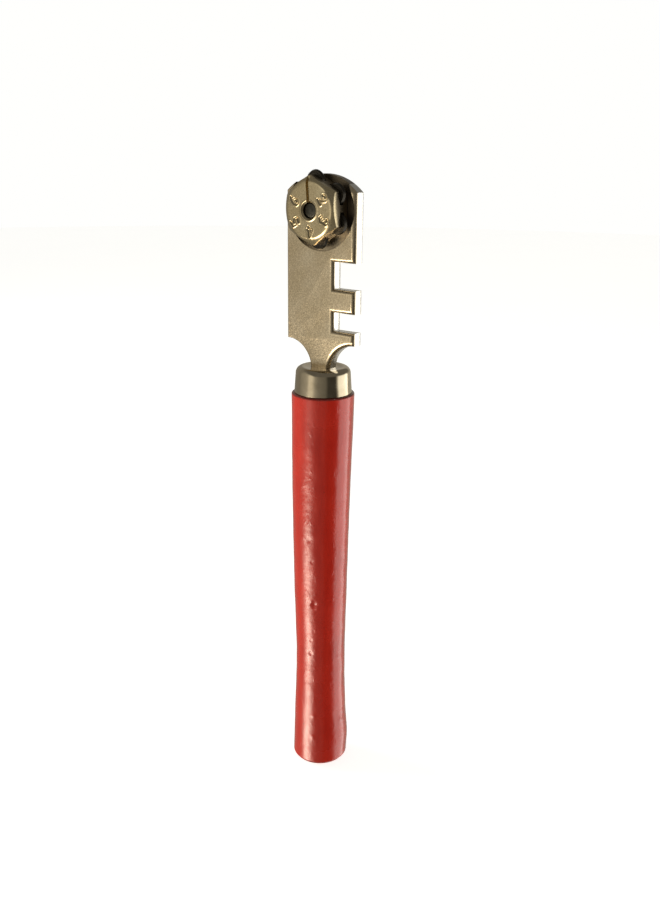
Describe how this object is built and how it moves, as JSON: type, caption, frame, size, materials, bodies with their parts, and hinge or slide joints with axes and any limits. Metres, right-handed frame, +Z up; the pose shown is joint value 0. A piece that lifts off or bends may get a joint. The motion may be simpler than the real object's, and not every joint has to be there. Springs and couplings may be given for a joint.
{
  "type": "glass cutter",
  "caption": "Turret glass cutter: flat nickel-plated head with breaking notches, indexing hexagonal turret of small cutting wheels, metal ferrule and turned red wooden handle.",
  "frame": {"origin": "on the handle's axis at its butt end, the lowest point when the cutter stands head up", "axes": "+Z up the handle's axis to the cutting wheel, -Y the numbered side of the turret, +X the side with the breaking notches"},
  "size_m": [0.0164, 0.013, 0.132],
  "materials": {
    "nickel_plate": "satin nickel plate over fine-ground steel",
    "polished_nickel": "polished nickel plate",
    "red_paint": "glossy red lacquer on turned wood",
    "hard_steel": "ground hardened tool steel",
    "black_steel": "blackened steel"
  },
  "bodies": {
    "head_and_handle": {"head_plate": "nickel_plate", "ferrule": "polished_nickel", "handle": "red_paint"},
    "turret": {"turret": "nickel_plate", "wheel_pin_1": "black_steel", "wheel_pin_2": "black_steel", "wheel_pin_3": "black_steel", "wheel_pin_4": "black_steel", "wheel_pin_5": "black_steel", "wheel_pin_6": "black_steel"},
    "cutting_wheel_1": {"cutting_wheel_1": "hard_steel"},
    "cutting_wheel_2": {"cutting_wheel_2": "hard_steel"},
    "cutting_wheel_3": {"cutting_wheel_3": "hard_steel"},
    "cutting_wheel_4": {"cutting_wheel_4": "hard_steel"},
    "cutting_wheel_5": {"cutting_wheel_5": "hard_steel"},
    "cutting_wheel_6": {"cutting_wheel_6": "hard_steel"},
    "lock_washer": {"lock_washer": "black_steel"},
    "pivot_screw": {"pivot_screw": "black_steel"}
  },
  "joints": [
    {"name": "turret_turn", "type": "hinge", "parent": "head_and_handle", "child": "turret", "pos_m": [0, -0.0028, 0.12452], "axis": [0, -1, 0], "continuous": true},
    {"name": "wheel_1_spin", "type": "hinge", "parent": "turret", "child": "cutting_wheel_1", "pos_m": [-0.00042, -0.0023, 0.1299], "axis": [0, -1, 0], "continuous": true},
    {"name": "wheel_2_spin", "type": "hinge", "parent": "turret", "child": "cutting_wheel_2", "pos_m": [0.00445, -0.0023, 0.12758], "axis": [0, -1, 0], "continuous": true},
    {"name": "wheel_3_spin", "type": "hinge", "parent": "turret", "child": "cutting_wheel_3", "pos_m": [0.00487, -0.0023, 0.12219], "axis": [0, -1, 0], "continuous": true},
    {"name": "wheel_4_spin", "type": "hinge", "parent": "turret", "child": "cutting_wheel_4", "pos_m": [0.00042, -0.0023, 0.11913], "axis": [0, -1, 0], "continuous": true},
    {"name": "wheel_5_spin", "type": "hinge", "parent": "turret", "child": "cutting_wheel_5", "pos_m": [-0.00445, -0.0023, 0.12146], "axis": [0, -1, 0], "continuous": true},
    {"name": "wheel_6_spin", "type": "hinge", "parent": "turret", "child": "cutting_wheel_6", "pos_m": [-0.00487, -0.0023, 0.12684], "axis": [0, -1, 0], "continuous": true},
    {"name": "washer_back_off", "type": "slide", "parent": "head_and_handle", "child": "lock_washer", "axis": [0, 1, 0], "range_m": [0, 0.0005]},
    {"name": "screw_turn", "type": "hinge", "parent": "lock_washer", "child": "pivot_screw", "pos_m": [0, 0.0022, 0.12452], "axis": [0, 1, 0], "range_deg": [0, 360]}
  ],
  "couplings": [
    {"joint": "washer_back_off", "follows": "screw_turn", "m_per_rad": 0.000079577}
  ]
}
